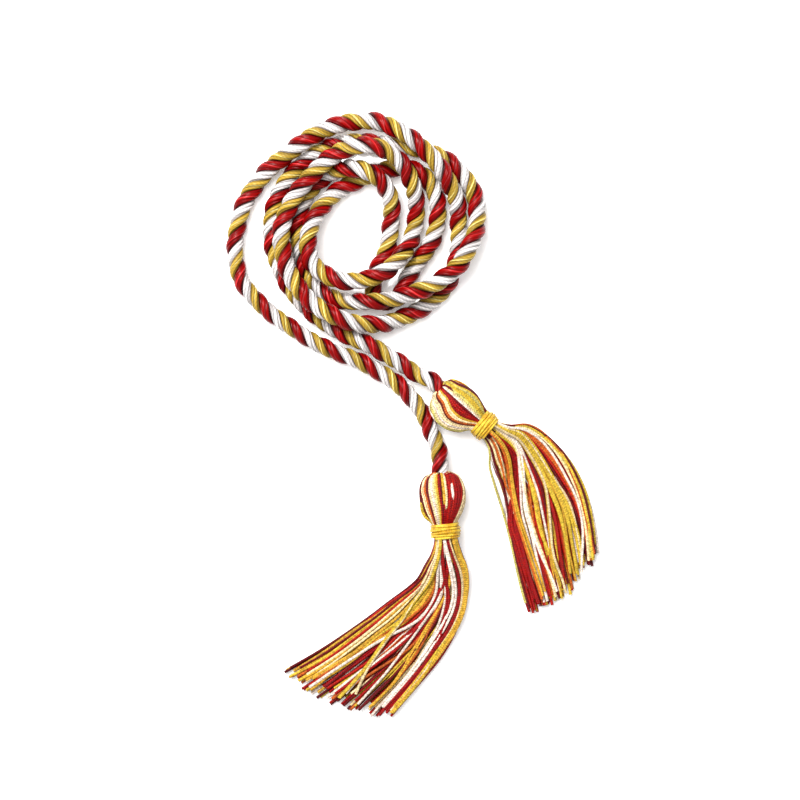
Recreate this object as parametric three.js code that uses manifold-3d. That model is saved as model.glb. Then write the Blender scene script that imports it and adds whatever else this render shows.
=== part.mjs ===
// An honor cord: one twisted cord, folded at its middle and laid down in a loose coil,
// with a bound tassel on each end. Millimetres, +Z up, the floor at z = 0.
// The origin is at the middle of the outline's box, on the floor.

import * as THREE from "three";
import { mergeVertices } from "three/addons/utils/BufferGeometryUtils.js";
import Module from "manifold-3d";

const clearance = 0.3;

// The cord
const cordDiameter = 9.5;
const cordSides = 12;
const cordSteps = 150;

// A tassel's head, its binding and its skirt of locks
const headLength = 25;
const headWidth = 24;
const headLobes = 9;
const lobeDepth = 0.07;
const neckDiameter = 13;
const neckSides = 16;
const bindingLength = 8.3;
const bindingThickness = 1.4;
const bindingWraps = 6;
const bindingSides = 24;
const wrapDepth = 0.5;
const skirtLength = 100;
const lockWidth = 8.5;
const lockThickness = 5.2;
const locksBelow = 7;
const locksAbove = 6;
const lockSteps = 9;

// In shares of a lock's length: where it has settled onto the floor, and how much shorter the
// upper locks are. In shares of its thickness: how far an upper lock is raised at neck and tips.
const settledShare = 0.32;
const upperShorter = 0.03;
const upperRise = { neck: 0.8, tips: 0.45 };

// Points nearer than this are one corner.
const weldDistance = 1e-4;

// The cord's centreline, from the lower tassel to the right tassel: x, y, and the level that it
// lies on. Level 0 is the floor and level 1 is on top of another stretch of the cord.
const route = [
  // out of the lower tassel
  [14.5, -31.6, 0.45], [14, -25.4, 0.42], [13, -18.1, 0.2], [9.6, -9.8, 0.03], [5.2, -0.4, 0],
  [0.2, 6.8, 0], [-5.7, 13.1, 0], [-13.5, 19.1, 0], [-22.1, 24, 0], [-31, 28.4, 0],
  [-40.3, 31.8, 0], [-49.7, 36.2, 0], [-58.8, 41.7, 0], [-67.6, 47.4, 0], [-76.5, 54.2, 0],
  [-84.3, 62, 0], [-90, 70.3, 0],
  // outer turn: up the left side, over the top, down the right side and along the bottom
  [-92.3, 79.6, 0], [-92.6, 89, 0], [-91.3, 98.4, 0], [-88.4, 107.7, 0], [-84, 116, 0],
  [-78, 123.8, 0.1], [-69.7, 131.6, 0.3], [-60.3, 138.4, 0.6], [-50.5, 145.2, 0.6],
  [-40.1, 149.3, 0.6], [-30.2, 151.7, 0.5], [-20.8, 151.7, 0.6], [-11.5, 148.8, 0.8], [-2.6, 143.6, 1],
  [5.7, 136.8, 1.05], [12.7, 129, 1.05], [18.2, 120.5, 0.8], [22.3, 111.9, 0.4], [23.6, 102.5, 0],
  [23.9, 93.2, 0], [23.1, 83.8, 0], [21.3, 74.4, 0], [16.6, 65.1, 0], [9.3, 57.8, 0],
  [0, 52.1, 0], [-9.9, 47.9, 0.2], [-19.3, 46.1, 0.6], [-28.6, 46.4, 1], [-37.5, 49, 1.1],
  [-45.3, 52.6, 1.1],
  // second turn: up the left side on the other half, over the top and down the right side
  [-52.5, 57.5, 1], [-58.8, 64, 1], [-64, 72.4, 1], [-67.1, 81.7, 0.9], [-68.4, 91.1, 0.85],
  [-67.1, 100.4, 0.85], [-63.2, 109.3, 0.85], [-57.5, 117.6, 0.95], [-51, 124.9, 1],
  [-43.7, 131.6, 1.1], [-35.9, 136.3, 1.4], [-27.1, 138.1, 1.9], [-18.2, 137.4, 1.9],
  [-10.4, 133.2, 1.5], [-4.2, 127, 1.15], [-0.3, 118.6, 0.9], [1.5, 109.3, 0.3], [1.5, 99.9, 0],
  [-0.8, 91.1, 0.2], [-4.7, 83.3, 0.8], [-10.4, 76.5, 1.2], [-18.2, 71.3, 1.3], [-27.1, 68.7, 1.3],
  [-36.4, 68.7, 1.2],
  // third turn, the innermost, and out to the fold
  [-45.3, 71.6, 1], [-51.8, 77.3, 0.95], [-54.6, 85.4, 0.9], [-53.8, 94.2, 0.8], [-50.5, 102.5, 0.5],
  [-45.5, 109.8, 0.2], [-38.5, 116, 0], [-29.7, 121, 0], [-20.8, 124.6, 0], [-11.5, 127.5, 0],
  [-2.6, 127.5, 0], [5.7, 123.8, 0], [10.6, 116.6, 0], [13, 107.7, 0], [12.7, 98.9, 0],
  [9.9, 90, 0], [5.2, 82, 0], [0.2, 75.2, 0], [-3.4, 69.5, 0],
  // the fold at the cord's middle, under two other stretches
  [-5, 64.6, 0], [-7.6, 60.1, 0], [-13, 58.1, 0], [-18.5, 59.9, 0], [-21.1, 64.8, 0],
  [-20.3, 70.5, 0],
  // the other half: up the inside, over the top, down the left side and along the bottom
  [-17.4, 76.8, 0], [-13.8, 84.3, 0], [-12, 93.7, 0], [-11.2, 103.6, 0.15], [-12.2, 112.9, 0.6],
  [-16.9, 120.7, 1], [-24.5, 125.7, 1], [-33.6, 127.2, 0.75], [-42.4, 125.4, 0.05],
  [-49.7, 120.5, 0], [-55.7, 112.9, 0], [-59, 104.1, 0], [-60.1, 94.7, 0], [-59.3, 85.9, 0],
  [-57, 77, 0], [-52.8, 68.7, 0], [-46.3, 62.2, 0], [-37.5, 58.8, 0.2], [-28.1, 57.8, 0.8],
  [-18.7, 58.1, 1], [-9.9, 59.4, 1], [-1.1, 62, 1], [7.8, 65.3, 1], [15.6, 69.8, 1],
  // out over the first half and round the coil, between its outer turn and the rest
  [22.9, 76, 1], [28.1, 83.8, 0.95], [32, 92.6, 0.6], [33.5, 102, 0.2], [32.5, 111.4, 0],
  [28.6, 120.2, 0], [22.1, 128, 0], [14, 133.7, 0], [5.7, 136.8, 0], [-3.1, 138.7, 0],
  [-12.5, 139.7, 0], [-22.4, 141, 0], [-31.7, 141.3, 0], [-40.6, 139.7, 0], [-49.4, 136.1, 0],
  [-57.2, 130.3, 0], [-64, 123.3, 0], [-69.2, 115.5, 0], [-72.6, 106.7, 0], [-73.9, 97.3, 0],
  [-73.3, 88, 0], [-70.7, 78.6, 0], [-66.8, 69.8, 0], [-61.4, 61.7, 0], [-54.6, 54.2, 0],
  [-47.1, 47.9, 0], [-38.8, 42.7, 0.1],
  // into the right tassel
  [-30.2, 38.6, 0.2], [-21.6, 35, 0.35], [-13, 30, 0.35], [-4.2, 24.5, 0.2],
  [3.1, 19.9, 0.2], [9.3, 17.2, 0.42], [14.5, 12.8, 0.45],
];

// A skirt's two edges, seen from above, at even steps from its neck to its tips. Along is measured
// on from the neck and across to the left of it, both in shares of the skirt's length.
const skirtEdges = {
  lower: [
    { innerAlong: 0, innerAcross: -0.07, outerAlong: 0, outerAcross: 0.07 },
    { innerAlong: 0.19, innerAcross: -0.165, outerAlong: 0.22, outerAcross: 0.095 },
    { innerAlong: 0.31, innerAcross: -0.335, outerAlong: 0.42, outerAcross: 0.05 },
    { innerAlong: 0.42, innerAcross: -0.515, outerAlong: 0.595, outerAcross: -0.06 },
    { innerAlong: 0.525, innerAcross: -0.7, outerAlong: 0.745, outerAcross: -0.2 },
    { innerAlong: 0.62, innerAcross: -0.9, outerAlong: 0.895, outerAcross: -0.35 },
  ],
  right: [
    { innerAlong: 0, innerAcross: -0.07, outerAlong: 0, outerAcross: 0.07 },
    { innerAlong: 0.17, innerAcross: -0.165, outerAlong: 0.17, outerAcross: 0.165 },
    { innerAlong: 0.33, innerAcross: -0.265, outerAlong: 0.365, outerAcross: 0.175 },
    { innerAlong: 0.48, innerAcross: -0.37, outerAlong: 0.55, outerAcross: 0.105 },
    { innerAlong: 0.625, innerAcross: -0.485, outerAlong: 0.71, outerAcross: -0.005 },
    { innerAlong: 0.77, innerAcross: -0.595, outerAlong: 0.855, outerAcross: -0.14 },
  ],
};

// The head's outline from the cord to the neck: shares of its length and of half its width.
const headOutline = [
  { along: 0, out: 0.5 }, { along: 0.05, out: 0.74 }, { along: 0.18, out: 0.92 },
  { along: 0.36, out: 1 }, { along: 0.58, out: 0.98 }, { along: 0.78, out: 0.85 },
  { along: 0.93, out: 0.66 }, { along: 1, out: 0.54 },
];

// How much of the full length each lock in turn reaches, so that the tips are ragged.
const lockReach = [1, 0.97, 0.99, 0.96, 1, 0.98, 0.97];

const colours = { cord: 0xb3101c, tassel: 0xd98a1c, binding: 0xe8c21a };
const up = new THREE.Vector3(0, 0, 1);

// A curve that the floor stops from dipping below its resting height, and whose sections stand
// upright, so that an extruded section keeps its flat side down.
class UprightCurve extends THREE.CatmullRomCurve3 {
  constructor(points, lowest) {
    super(points, false, "centripetal");
    this.arcLengthDivisions = 12 * points.length;
    this.lowest = lowest;
  }

  getPoint(t, target = new THREE.Vector3()) {
    const point = super.getPoint(t, target);
    return point.setZ(Math.max(point.z, this.lowest));
  }

  computeFrenetFrames(segments) {
    const frames = { tangents: [], normals: [], binormals: [] };
    for (let i = 0; i <= segments; i += 1) {
      const tangent = this.getTangentAt(i / segments);
      const side = new THREE.Vector3().crossVectors(up, tangent).normalize();
      frames.tangents.push(tangent);
      frames.normals.push(side);
      frames.binormals.push(new THREE.Vector3().crossVectors(tangent, side));
    }
    return frames;
  }
}

const material = (colour) => new THREE.MeshStandardMaterial({ color: colour, roughness: 0.6 });

// Height of the cord's centre above the floor: its section's flat side is down.
const cordRestHeight = (cordDiameter / 2) * Math.cos(Math.PI / cordSides);

function cordCurve() {
  const levelHeight = cordDiameter + clearance;
  const points = route.map(
    ([x, y, level]) => new THREE.Vector3(x, y, cordRestHeight + level * levelHeight));
  return new UprightCurve(points, cordRestHeight);
}

function cordGeometry(curve) {
  const corners = [];
  for (let i = 0; i < cordSides; i += 1) {
    const angle = ((i + 0.5) * 2 * Math.PI) / cordSides;
    corners.push(new THREE.Vector2(Math.cos(angle), Math.sin(angle)).multiplyScalar(cordDiameter / 2));
  }
  return new THREE.ExtrudeGeometry(new THREE.Shape(corners), { steps: cordSteps, extrudePath: curve });
}

// The head: yarn loops side by side, as a bulb with lobes, flattened until it lies on the floor.
function headGeometry(axisHeight) {
  const profile = [new THREE.Vector2(0, 0)];
  for (const { along, out } of headOutline) {
    profile.push(new THREE.Vector2((out * headWidth) / 2, along * headLength));
  }
  profile.push(new THREE.Vector2(0, headLength));
  const geometry = new THREE.LatheGeometry(profile, 4 * headLobes);
  const position = geometry.attributes.position;
  const point = new THREE.Vector3();
  for (let i = 0; i < position.count; i += 1) {
    point.fromBufferAttribute(position, i);
    const angle = Math.atan2(point.z, point.x);
    const bulge = Math.sin((Math.PI * point.y) / headLength);
    const lobe = 1 - lobeDepth * bulge * (0.5 - 0.5 * Math.cos(headLobes * angle));
    position.setXYZ(i, point.x * lobe, point.y, point.z * lobe * ((2 * axisHeight) / headWidth));
  }
  // From the lathe's axis, Y, to lying along X.
  geometry.rotateZ(-Math.PI / 2);
  return geometry;
}

// The neck runs from inside the head, through the binding, into the skirt.
function neckGeometry() {
  const overlap = headLength / 6;
  const length = bindingLength + 2 * clearance + 2 * overlap;
  const geometry = new THREE.CylinderGeometry(neckDiameter / 2, neckDiameter / 2, length, neckSides);
  geometry.rotateZ(-Math.PI / 2);
  geometry.translate(headLength - overlap + length / 2, 0, 0);
  return geometry;
}

// A point of the skirt, seen from above: t from neck to tips, share from inner to outer edge.
function skirtPoint(edges, t, share) {
  const at = t * (edges.length - 1);
  const row = Math.min(Math.floor(at), edges.length - 2);
  const between = (key) => THREE.MathUtils.lerp(edges[row][key], edges[row + 1][key], at - row);
  const inner = new THREE.Vector2(between("innerAlong"), between("innerAcross"));
  const outer = new THREE.Vector2(between("outerAlong"), between("outerAcross"));
  inner.multiplyScalar(skirtLength);
  outer.multiplyScalar(skirtLength);
  const spread = inner.distanceTo(outer);
  const out = lockWidth / 2 + share * (spread - lockWidth);
  return inner.lerp(outer, out / spread);
}

// One lock: a flattened bundle of yarn that comes out of the neck and settles onto the floor.
function lockGeometry({ edges, share, reach, axisHeight, above }) {
  const start = headLength + bindingLength + 2 * clearance;
  const side = above ? 1 : -1;
  const points = [];
  for (let i = 0; i <= lockSteps; i += 1) {
    const t = (i / lockSteps) * reach;
    const { x, y } = skirtPoint(edges, t, share);
    const settled = THREE.MathUtils.smoothstep(t, 0, settledShare);
    const high = axisHeight + (side * lockThickness) / 2 - clearance * side;
    const rise = above ? THREE.MathUtils.lerp(upperRise.neck, upperRise.tips, t) : 0;
    const low = lockThickness / 2 + lockThickness * rise;
    points.push(new THREE.Vector3(start + x, y, THREE.MathUtils.lerp(high, low, settled) - axisHeight));
  }
  // The first stretch is straight, so that the lock starts square to the binding.
  points.splice(1, 0, points[0].clone().setX(start + lockThickness / 2));
  const [w, h] = [lockWidth / 2, lockThickness / 2];
  const section = new THREE.Shape([
    new THREE.Vector2(-w, 0), new THREE.Vector2(-w / 2, -h), new THREE.Vector2(w / 2, -h),
    new THREE.Vector2(w, 0), new THREE.Vector2(w / 2, h), new THREE.Vector2(-w / 2, h),
  ]);
  const path = new UprightCurve(points, lockThickness / 2 - axisHeight);
  return new THREE.ExtrudeGeometry(section, { steps: lockSteps, extrudePath: path });
}

function toManifold(wasm, geometry) {
  geometry.deleteAttribute("normal");
  geometry.deleteAttribute("uv");
  const merged = mergeVertices(geometry, weldDistance);
  const mesh = new wasm.Mesh({
    numProp: 3,
    vertProperties: new Float32Array(merged.attributes.position.array),
    triVerts: new Uint32Array(merged.index.array),
  });
  return new wasm.Manifold(mesh);
}

function fuse(wasm, geometries) {
  const solid = geometries.map((geometry) => toManifold(wasm, geometry)).reduce((a, b) => a.add(b));
  const mesh = solid.getMesh();
  const geometry = new THREE.BufferGeometry();
  geometry.setAttribute("position", new THREE.BufferAttribute(mesh.vertProperties, mesh.numProp));
  geometry.setIndex(new THREE.BufferAttribute(mesh.triVerts, 1));
  geometry.computeVertexNormals();
  return geometry;
}

// The tassel in its own frame: the origin where the cord ends, X on through head and skirt.
function tasselGeometry(wasm, edges, axisHeight) {
  const pieces = [headGeometry(axisHeight), neckGeometry()];
  for (const [count, above] of [[locksBelow, false], [locksAbove, true]]) {
    for (let i = 0; i < count; i += 1) {
      const share = (i + (above ? 0.5 : 0)) / (locksBelow - 1);
      const reach = lockReach[(i + (above ? 3 : 0)) % lockReach.length] - (above ? upperShorter : 0);
      pieces.push(lockGeometry({ edges, share, reach, axisHeight, above }));
    }
  }
  return fuse(wasm, pieces);
}

// Thread wound round the neck, a rounded wrap at a time.
function bindingGeometry() {
  const inner = neckDiameter / 2 + clearance;
  const outer = neckDiameter / 2 + bindingThickness;
  const profile = [new THREE.Vector2(inner, 0)];
  for (let i = 0; i <= 2 * bindingWraps; i += 1) {
    const radius = i % 2 === 0 ? outer - wrapDepth : outer;
    profile.push(new THREE.Vector2(radius, (i / (2 * bindingWraps)) * bindingLength));
  }
  profile.push(new THREE.Vector2(inner, bindingLength), new THREE.Vector2(inner, 0));
  const geometry = new THREE.LatheGeometry(profile, bindingSides);
  geometry.rotateZ(-Math.PI / 2);
  geometry.translate(headLength + clearance, 0, 0);
  return geometry;
}

function namedMesh(name, geometry, colour) {
  const mesh = new THREE.Mesh(geometry, material(colour));
  mesh.name = name;
  return mesh;
}

// A tassel on one end of the cord, in line with it.
function tasselGroup(wasm, name, end, heading) {
  const group = new THREE.Group();
  const geometry = tasselGeometry(wasm, skirtEdges[name], end.z);
  group.add(namedMesh(`tassel_${name}`, geometry, colours.tassel));
  group.add(namedMesh(`binding_${name}`, bindingGeometry(), colours.binding));
  const level = heading.setZ(0).normalize();
  group.position.copy(end).addScaledVector(level, clearance);
  group.rotation.z = Math.atan2(level.y, level.x);
  return group;
}

const wasm = await Module();
wasm.setup();

const curve = cordCurve();
const cord = new THREE.Group();
cord.add(namedMesh("twisted_cord", cordGeometry(curve), colours.cord));
cord.add(tasselGroup(wasm, "lower", curve.getPoint(0), curve.getTangentAt(0).negate()));
cord.add(tasselGroup(wasm, "right", curve.getPoint(1), curve.getTangentAt(1)));

// The middle of the outline's box goes over the origin.
const middle = new THREE.Box3().setFromObject(cord, true).getCenter(new THREE.Vector3());
cord.position.set(-middle.x, -middle.y, 0);

export default cord;
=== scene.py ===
import math

import bpy
import numpy as np
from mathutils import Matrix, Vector


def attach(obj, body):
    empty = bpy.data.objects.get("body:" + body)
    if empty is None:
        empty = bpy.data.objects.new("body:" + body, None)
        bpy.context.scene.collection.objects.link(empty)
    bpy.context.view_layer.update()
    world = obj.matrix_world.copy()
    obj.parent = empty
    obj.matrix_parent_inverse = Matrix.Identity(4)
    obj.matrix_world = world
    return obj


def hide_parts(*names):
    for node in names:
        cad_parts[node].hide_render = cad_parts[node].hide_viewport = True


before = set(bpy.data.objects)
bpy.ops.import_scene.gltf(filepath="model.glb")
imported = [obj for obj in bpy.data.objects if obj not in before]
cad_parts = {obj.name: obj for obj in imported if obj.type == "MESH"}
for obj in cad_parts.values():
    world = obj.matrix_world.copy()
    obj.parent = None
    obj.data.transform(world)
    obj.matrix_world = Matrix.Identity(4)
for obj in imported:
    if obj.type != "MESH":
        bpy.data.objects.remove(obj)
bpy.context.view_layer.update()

MM = 0.001
TAU = math.tau
rng = np.random.default_rng(417)


# ---- lines and paths ----

SPAN_STEPS = 24


def through(points, step):
    """Even points, this far apart, on the smooth line that passes through the given ones."""
    p = np.asarray(points, float)
    p = np.vstack([2 * p[0] - p[1], p, 2 * p[-1] - p[-2]])
    knots = np.concatenate([[0], np.cumsum(np.linalg.norm(np.diff(p, axis=0), axis=1) ** 0.5)])
    line = []
    for i in range(1, len(p) - 2):
        t0, t1, t2, t3 = knots[i - 1:i + 3]
        t = np.linspace(t1, t2, SPAN_STEPS, endpoint=False)[:, None]
        a = (t1 - t) / (t1 - t0) * p[i - 1] + (t - t0) / (t1 - t0) * p[i]
        b = (t2 - t) / (t2 - t1) * p[i] + (t - t1) / (t2 - t1) * p[i + 1]
        c = (t3 - t) / (t3 - t2) * p[i + 1] + (t - t2) / (t3 - t2) * p[i + 2]
        ab = (t2 - t) / (t2 - t0) * a + (t - t0) / (t2 - t0) * b
        bc = (t3 - t) / (t3 - t1) * b + (t - t1) / (t3 - t1) * c
        line.append((t2 - t) / (t2 - t1) * ab + (t - t1) / (t2 - t1) * bc)
    line = np.vstack(line + [p[-2:-1]])
    far = np.concatenate([[0], np.cumsum(np.linalg.norm(np.diff(line, axis=0), axis=1))])
    even = np.linspace(0, far[-1], max(2, round(far[-1] / step) + 1))
    return np.stack([np.interp(even, far, line[:, k]) for k in range(3)], axis=1), even


def eased(value, low, high):
    """0 below low, 1 above high, and a smooth rise between them."""
    share = np.clip((np.asarray(value, float) - low) / (high - low), 0, 1)
    return share * share * (3 - 2 * share)


def smooth(at, places, values):
    """What a smooth line through these values has at each place. Past its ends it stays level."""
    places, values, at = np.asarray(places, float), np.asarray(values, float), np.asarray(at, float)
    slope = np.gradient(values, places)
    k = np.clip(np.searchsorted(places, at, side="right") - 1, 0, len(places) - 2)
    width = places[k + 1] - places[k]
    t = np.clip((at - places[k]) / width, 0, 1)
    rise = (values[k + 1] - values[k]) * t * t * (3 - 2 * t)
    return values[k] + rise + width * t * (1 - t) * (slope[k] * (1 - t) - slope[k + 1] * t)


def laid_out(name, data, place=(0, 0, 0)):
    """An object of this mesh, lamp or camera, in the scene at this place."""
    item = bpy.data.objects.new(name, data)
    item.location = place
    bpy.context.collection.objects.link(item)
    return item


def lines_object(name, lines, values):
    """An object of bare lines. values gives each named value along them, one row for each point."""
    points = np.vstack(lines)
    edges, start = [], 0
    for line in lines:
        edges += [(start + i, start + i + 1) for i in range(len(line) - 1)]
        start += len(line)
    mesh = bpy.data.meshes.new(name)
    mesh.from_pydata(points.tolist(), edges, [])
    for label, rows in values.items():
        rows = [np.asarray(row, np.float32).reshape(len(line), -1) for row, line in zip(rows, lines)]
        rows = np.concatenate(rows)
        kind, field = ("FLOAT_VECTOR", "vector") if rows.shape[1] == 3 else ("FLOAT", "value")
        mesh.attributes.new(label, kind, "POINT").data.foreach_set(field, rows.ravel())
    return laid_out(name, mesh)


# ---- nodes ----

def put(tree, kind, settings=None, inputs=None):
    """A node of this type: its settings first, then the values or links of its sockets."""
    node = tree.nodes.new(kind)
    for name, value in (settings or {}).items():
        setattr(node, name, value)
    for key, value in (inputs or {}).items():
        socket = node.inputs[key]
        if isinstance(value, Term):
            tree.links.new(value.socket, socket)
        elif isinstance(value, bpy.types.NodeSocket):
            tree.links.new(value, socket)
        else:
            socket.default_value = value
    return node


class Term:
    """What comes out of a socket, so that sums of such numbers read as sums."""

    def __init__(self, tree, socket):
        self.tree, self.socket = tree, socket

    def math(self, operation, *others):
        """What this operation makes of the number and the others."""
        inputs = {0: self}
        inputs.update({place + 1: other for place, other in enumerate(others)})
        return Term(self.tree, put(self.tree, "ShaderNodeMath", {"operation": operation}, inputs).outputs[0])

    def __add__(self, other):
        return self.math("ADD", other)

    def __sub__(self, other):
        return self.math("SUBTRACT", other)

    def __mul__(self, other):
        return self.math("MULTIPLY", other)

    def __truediv__(self, other):
        return self.math("DIVIDE", other)

    def __rsub__(self, other):
        return (self * -1) + other

    __radd__, __rmul__ = __add__, __mul__

    def sine(self):
        return self.math("SINE")

    def between(self, low, high):
        """0 below low and 1 above high."""
        inputs = {"Value": self, "From Min": low, "From Max": high}
        node = put(self.tree, "ShaderNodeMapRange", {"interpolation_type": "SMOOTHSTEP"}, inputs)
        return Term(self.tree, node.outputs[0])


class Finish:
    """A material, with the few things that this object's finishes are made of."""

    def __init__(self, name, **constants):
        self.material = bpy.data.materials.new(name)
        self.material.use_nodes = True
        self.tree = self.material.node_tree
        self.shader = self.tree.nodes["Principled BSDF"]
        for label, value in constants.items():
            self.shader.inputs[label.replace("_", " ")].default_value = value

    def node(self, kind, settings=None, inputs=None, out=0):
        """What comes out of a new node of this type."""
        return Term(self.tree, put(self.tree, kind, settings, inputs).outputs[out])

    def value(self, label):
        """A number that the piece's points carry under this name."""
        return self.node("ShaderNodeAttribute", {"attribute_name": label}, out="Fac")

    def colour(self, label):
        """A colour that the piece's points carry under this name."""
        return self.node("ShaderNodeAttribute", {"attribute_name": label}, out="Color")

    def noise(self, scale, detail=2.0):
        """Soft unevenness all over the piece, so many waves to the metre."""
        place = self.node("ShaderNodeTexCoord", out="Object")
        return self.node("ShaderNodeTexNoise", inputs={"Vector": place, "Scale": scale, "Detail": detail})

    def blend(self, factor, one, two, blend_type="MIX"):
        """From the first colour to the second by this factor."""
        settings = {"data_type": "RGBA", "blend_type": blend_type}
        return self.node("ShaderNodeMix", settings, {"Factor": factor, 6: one, 7: two}, out=2)

    def shade(self, colour, level):
        """The colour, darker or lighter all round by the level."""
        grey = self.node("ShaderNodeCombineColor", inputs={"Red": level, "Green": level, "Blue": level})
        return self.blend(1.0, colour, grey, "MULTIPLY")

    def done(self, colour, roughness, height, depth):
        """The finished material, with relief as deep as this where the height goes from 0 to 1."""
        self.tree.links.new(colour.socket, self.shader.inputs["Base Color"])
        self.tree.links.new(roughness.socket, self.shader.inputs["Roughness"])
        relief = self.node("ShaderNodeBump", inputs={"Height": height, "Distance": depth, "Strength": 1.0})
        self.tree.links.new(relief.socket, self.shader.inputs["Normal"])
        return self.material


def rgb(red, green, blue):
    """A colour as it looks on a screen, 0 to 255, made into light."""
    shares = (red / 255, green / 255, blue / 255)
    return tuple(c / 12.92 if c < 0.0405 else ((c + 0.055) / 1.055) ** 2.4 for c in shares)


def full(colour):
    """The colour with nothing see-through about it."""
    return (*colour, 1.0)


# ---- trees that sweep plies and yarns along lines ----

def new_tree(name, sizes):
    """An empty tree that takes lines and these named sizes, and its input and output nodes."""
    tree = bpy.data.node_groups.new(name, "GeometryNodeTree")
    tree.interface.new_socket("Lines", in_out="INPUT", socket_type="NodeSocketGeometry")
    for label, kind in sizes.items():
        tree.interface.new_socket(label, in_out="INPUT", socket_type="NodeSocket" + kind)
    tree.interface.new_socket("Piece", in_out="OUTPUT", socket_type="NodeSocketGeometry")
    return tree, put(tree, "NodeGroupInput").outputs, put(tree, "NodeGroupOutput")


def stored(tree, geometry, label, value, kind="FLOAT"):
    """The geometry with this value kept on it under a name that the materials read."""
    inputs = {"Geometry": geometry, "Name": label, "Value": value}
    return put(tree, "GeometryNodeStoreNamedAttribute", {"data_type": kind, "domain": "POINT"}, inputs).outputs[0]


def named(tree, label, kind="FLOAT"):
    """The value that was kept under this name."""
    return put(tree, "GeometryNodeInputNamedAttribute", {"data_type": kind}, {"Name": label}).outputs["Attribute"]


def parts_of(tree, kind):
    """The X, Y and Z of each point's place or normal."""
    return put(tree, "ShaderNodeSeparateXYZ", inputs={0: put(tree, kind).outputs[0]}).outputs


def ring(tree, sides, height, width):
    """The outline that is swept, with the place round it kept as two numbers."""
    circle = put(tree, "GeometryNodeCurvePrimitiveCircle", {"mode": "RADIUS"}, {"Resolution": sides, "Radius": 1.0})
    place = parts_of(tree, "GeometryNodeInputPosition")
    outline = stored(tree, circle.outputs["Curve"], "round_x", place["X"])
    outline = stored(tree, outline, "round_y", place["Y"])
    size = put(tree, "ShaderNodeCombineXYZ", inputs={"X": height, "Y": width, "Z": 1.0}).outputs[0]
    return put(tree, "GeometryNodeTransform", inputs={"Geometry": outline, "Scale": size}).outputs[0]


def swept(tree, lines, outline, size, finish, group_out):
    """Sweeps the outline along the lines, presses it flat on the floor and gives it its finish."""
    inputs = {"Curve": lines, "Profile Curve": outline, "Scale": size, "Fill Caps": True}
    skin = put(tree, "GeometryNodeCurveToMesh", inputs=inputs).outputs[0]
    place = parts_of(tree, "GeometryNodeInputPosition")
    lifted = Term(tree, place["Z"]).math("MAXIMUM", 0.0)
    place = put(tree, "ShaderNodeCombineXYZ", inputs={"X": place["X"], "Y": place["Y"], "Z": lifted}).outputs[0]
    skin = put(tree, "GeometryNodeSetPosition", inputs={"Geometry": skin, "Position": place}).outputs[0]
    # how far each point faces up; the yarn and thread finishes read it for painted shade on their undersides
    skin = stored(tree, skin, "upper_side", parts_of(tree, "GeometryNodeInputNormal")["Z"])
    skin = put(tree, "GeometryNodeSetShadeSmooth", inputs={"Geometry": skin}).outputs[0]
    skin = put(tree, "GeometryNodeRealizeInstances", inputs={"Geometry": skin}).outputs[0]
    skin = put(tree, "GeometryNodeSetMaterial", inputs={"Geometry": skin, "Material": finish}).outputs[0]
    tree.links.new(skin, group_out.inputs["Piece"])
    return tree


# how far the other plies draw round the cord, away from the first, for each bit that it is fuller
ROOM_FOR_FIRST = 0.16


def ply_tree():
    """Three plies laid round the cord's own line, each an oval that keeps its flat side to the middle."""
    tree, sizes, group_out = new_tree("lay_plies", {
        "Ply count": "Int", "Ply reach": "Float", "Ply height": "Float", "Ply width": "Float",
        "First ply extra": "Float", "Sides": "Int", "Finish": "Material"})
    line = put(tree, "GeometryNodeMeshToCurve", inputs={"Mesh": sizes["Lines"]}).outputs[0]
    line = stored(tree, line, "along", put(tree, "GeometryNodeSplineParameter").outputs["Length"])
    copies = put(tree, "GeometryNodeDuplicateElements", {"domain": "SPLINE"},
                 {"Geometry": line, "Amount": sizes["Ply count"]}).outputs
    plies = stored(tree, copies["Geometry"], "ply", copies["Duplicate Index"])
    share = Term(tree, named(tree, "ply")) / sizes["Ply count"]
    # the first ply is the fullest, and the others make room for it
    fuller = (share * TAU).math("COSINE") * sizes["First ply extra"] + 1
    share = share + (share * TAU).sine() * sizes["First ply extra"] * ROOM_FOR_FIRST
    # the first ply is on top at every whole turn
    angle = (Term(tree, named(tree, "turns")) - share + 0.25) * TAU

    def scaled(vector, amount):
        """The vector, so many times as long."""
        node = put(tree, "ShaderNodeVectorMath", {"operation": "SCALE"}, {0: vector, "Scale": amount})
        return node.outputs[0]

    side = scaled(named(tree, "side", "FLOAT_VECTOR"), angle.math("COSINE"))
    over = scaled(named(tree, "over", "FLOAT_VECTOR"), angle.math("SINE"))
    outward = put(tree, "ShaderNodeVectorMath", {"operation": "ADD"}, {0: side, 1: over}).outputs[0]
    plies = stored(tree, plies, "outward", outward, "FLOAT_VECTOR")
    outward = named(tree, "outward", "FLOAT_VECTOR")
    size = Term(tree, named(tree, "size"))
    shift = scaled(outward, size * sizes["Ply reach"])
    plies = put(tree, "GeometryNodeSetPosition", inputs={"Geometry": plies, "Offset": shift}).outputs[0]
    plies = put(tree, "GeometryNodeSetCurveNormal", {"mode": "FREE"}, {"Curve": plies, "Normal": outward}).outputs[0]
    outline = ring(tree, sizes["Sides"], sizes["Ply height"], sizes["Ply width"])
    plies = stored(tree, plies, "fullness", size * fuller)
    return swept(tree, plies, outline, named(tree, "fullness"), sizes["Finish"], group_out)


def yarn_tree():
    """A round yarn along every line, as thick as the line says."""
    tree, sizes, group_out = new_tree("spin_yarn", {"Sides": "Int", "Finish": "Material"})
    lines = put(tree, "GeometryNodeMeshToCurve", inputs={"Mesh": sizes["Lines"]}).outputs[0]
    lines = stored(tree, lines, "along", put(tree, "GeometryNodeSplineParameter").outputs["Length"])
    outline = ring(tree, sizes["Sides"], 1.0, 1.0)
    return swept(tree, lines, outline, named(tree, "thick"), sizes["Finish"], group_out)


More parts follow.
